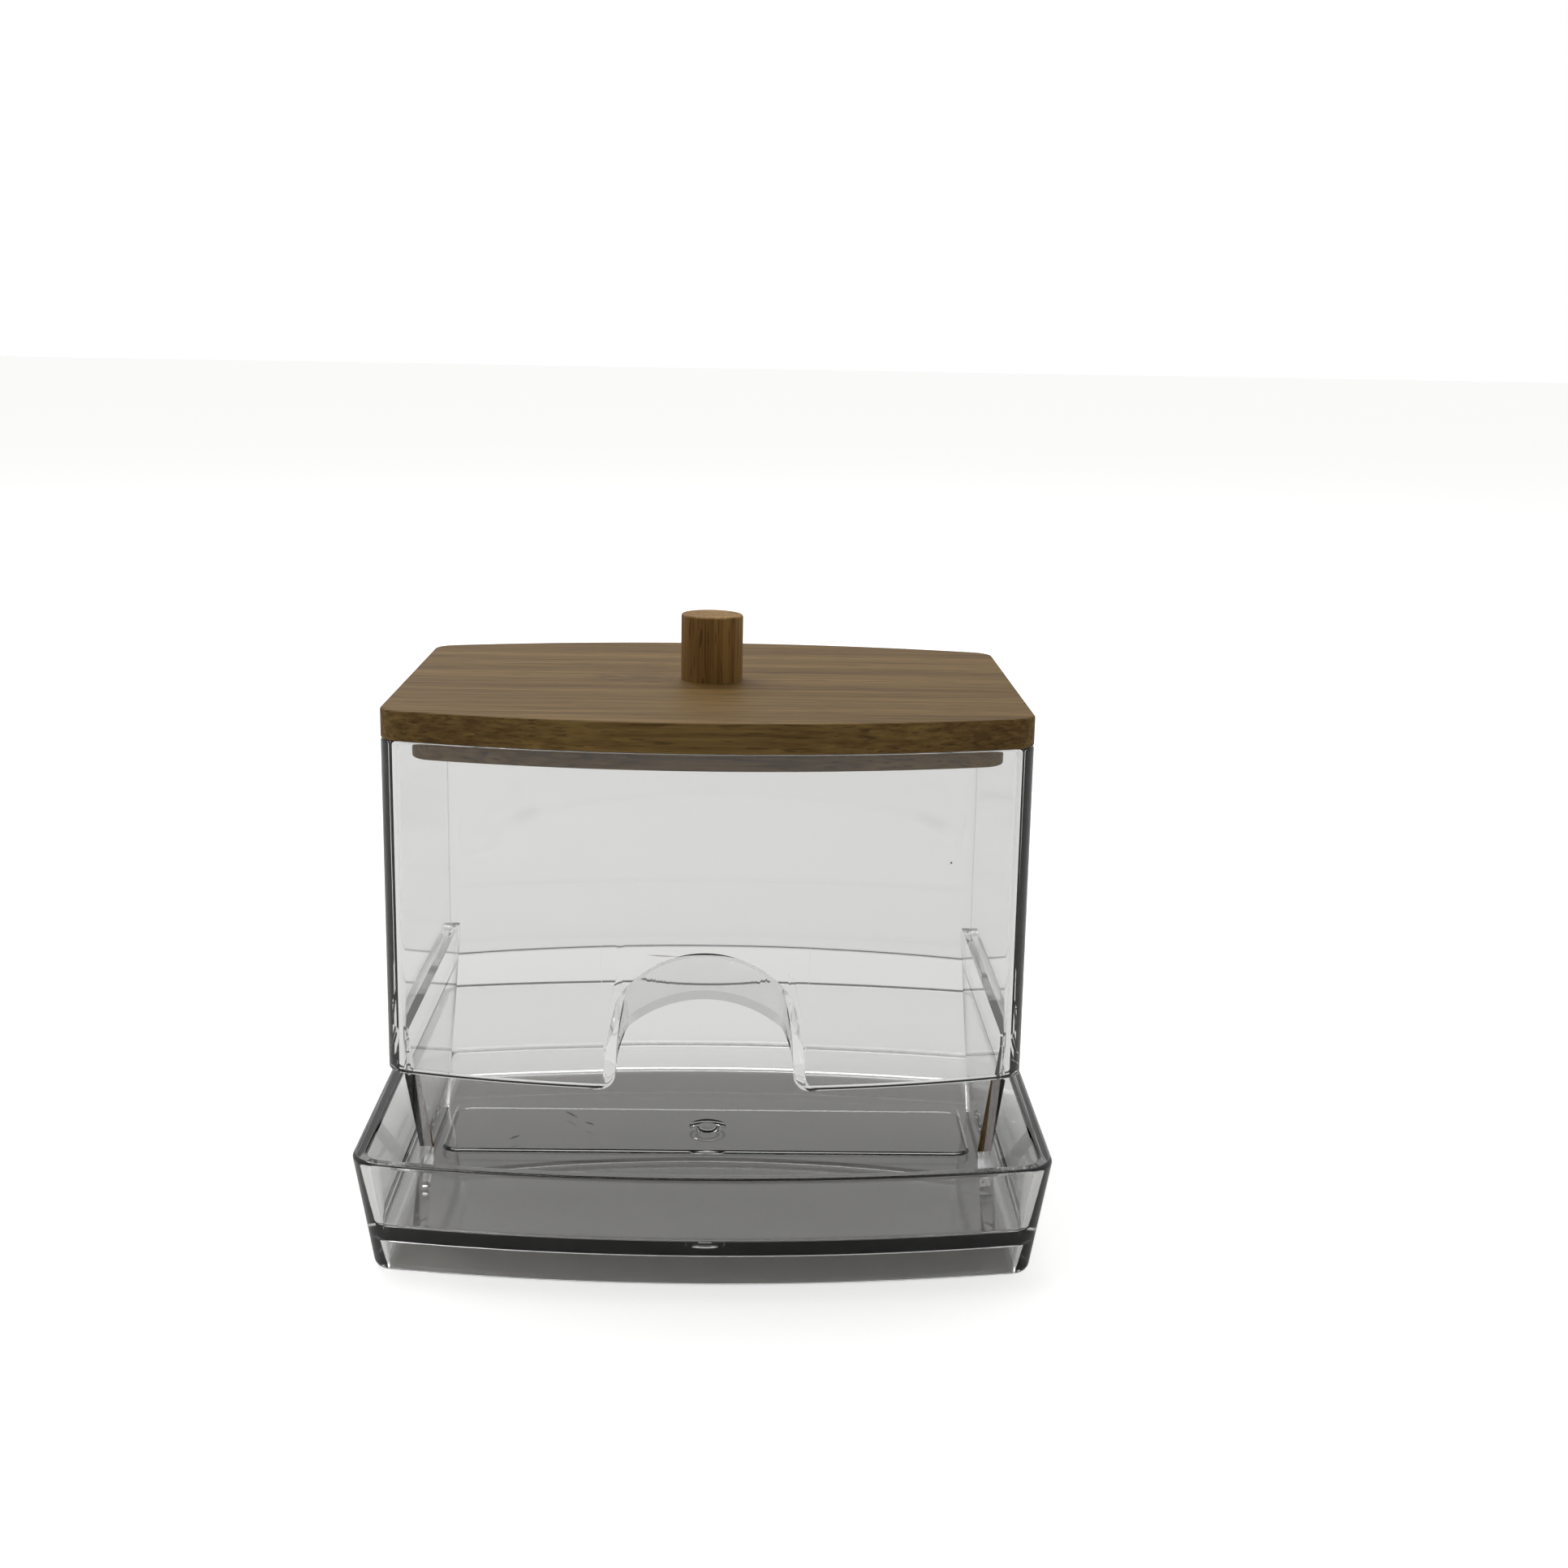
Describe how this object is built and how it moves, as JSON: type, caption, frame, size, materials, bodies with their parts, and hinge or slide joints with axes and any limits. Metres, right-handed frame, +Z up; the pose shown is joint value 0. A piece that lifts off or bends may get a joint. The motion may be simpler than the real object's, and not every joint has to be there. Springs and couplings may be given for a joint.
{
  "type": "cotton swab dispenser",
  "caption": "Clear bow-fronted hopper with a finger notch, standing in a clear tray under a bamboo lid with a dowel knob.",
  "frame": {"origin": "centre of the tray's footprint, on the table", "axes": "+Z up, -Y towards the finger notch at the front, +X to the right when facing the front"},
  "size_m": [0.1066, 0.0952, 0.0961],
  "materials": {
    "clear_plastic": "gloss",
    "bamboo_board": "satin",
    "bamboo_dowel": "satin"
  },
  "bodies": {
    "root": {"tray": "clear_plastic", "hopper": "clear_plastic", "lid": "bamboo_board", "knob": "bamboo_dowel"}
  },
  "joints": []
}
